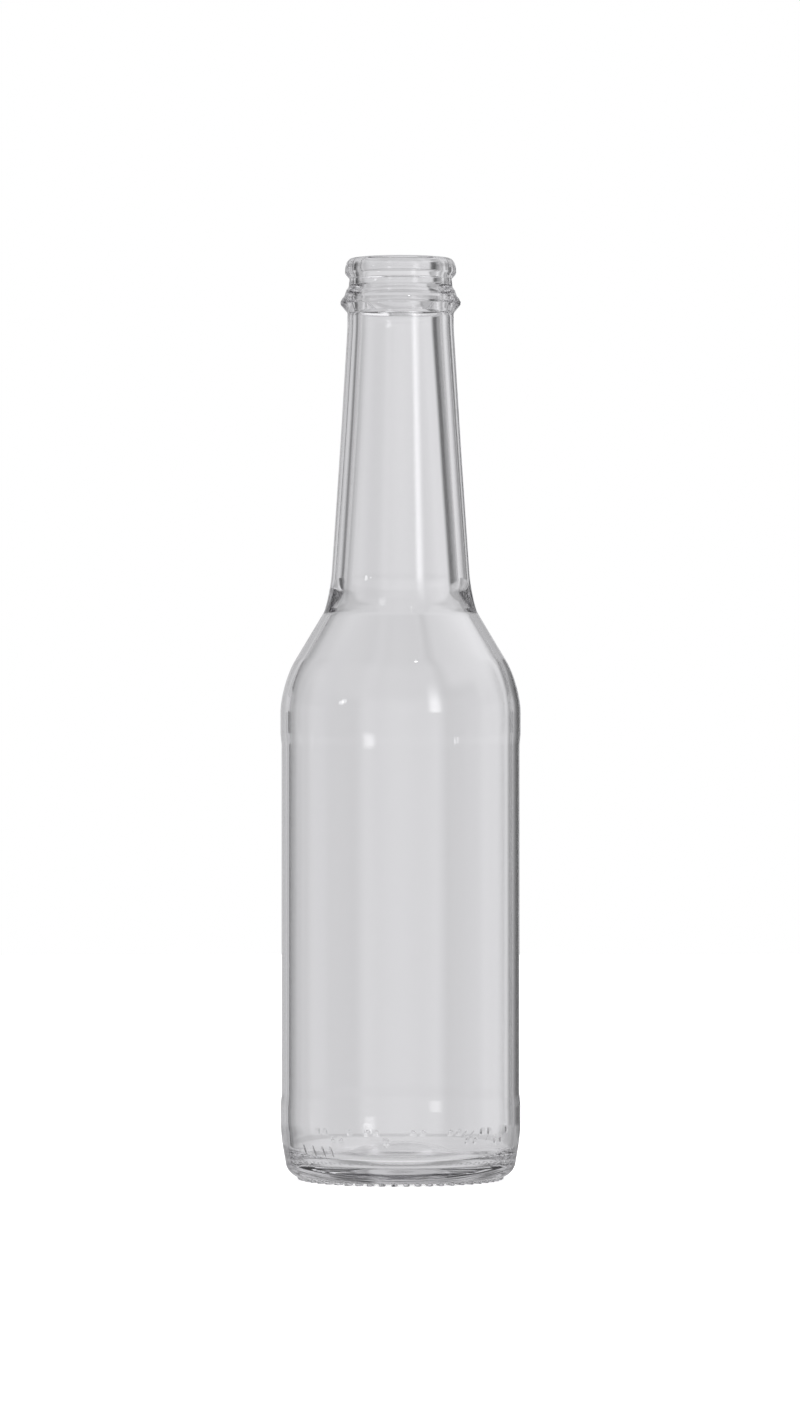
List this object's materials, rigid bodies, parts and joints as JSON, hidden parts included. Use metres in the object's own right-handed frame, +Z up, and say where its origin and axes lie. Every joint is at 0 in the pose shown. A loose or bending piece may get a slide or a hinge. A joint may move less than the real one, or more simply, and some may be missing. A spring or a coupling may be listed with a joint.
{
  "type": "long-neck beer bottle",
  "caption": "Empty clear glass bottle with a long tapering neck, sloping shoulder, straight body with a label panel, crown finish and push-up base; it stands on its foot.",
  "frame": {"origin": "on the bottle's axis, in the plane that its foot stands on", "axes": "+Z up along the axis towards the mouth; the bottle is turned, so X and Y are any two level directions, with a mould seam on the +X side and one on the -X side"},
  "size_m": [0.0578, 0.0578, 0.2213],
  "materials": {
    "glass": "clear colourless soda-lime glass, fire polished, glossy"
  },
  "bodies": {
    "root": {"bottle": "glass"}
  },
  "joints": []
}
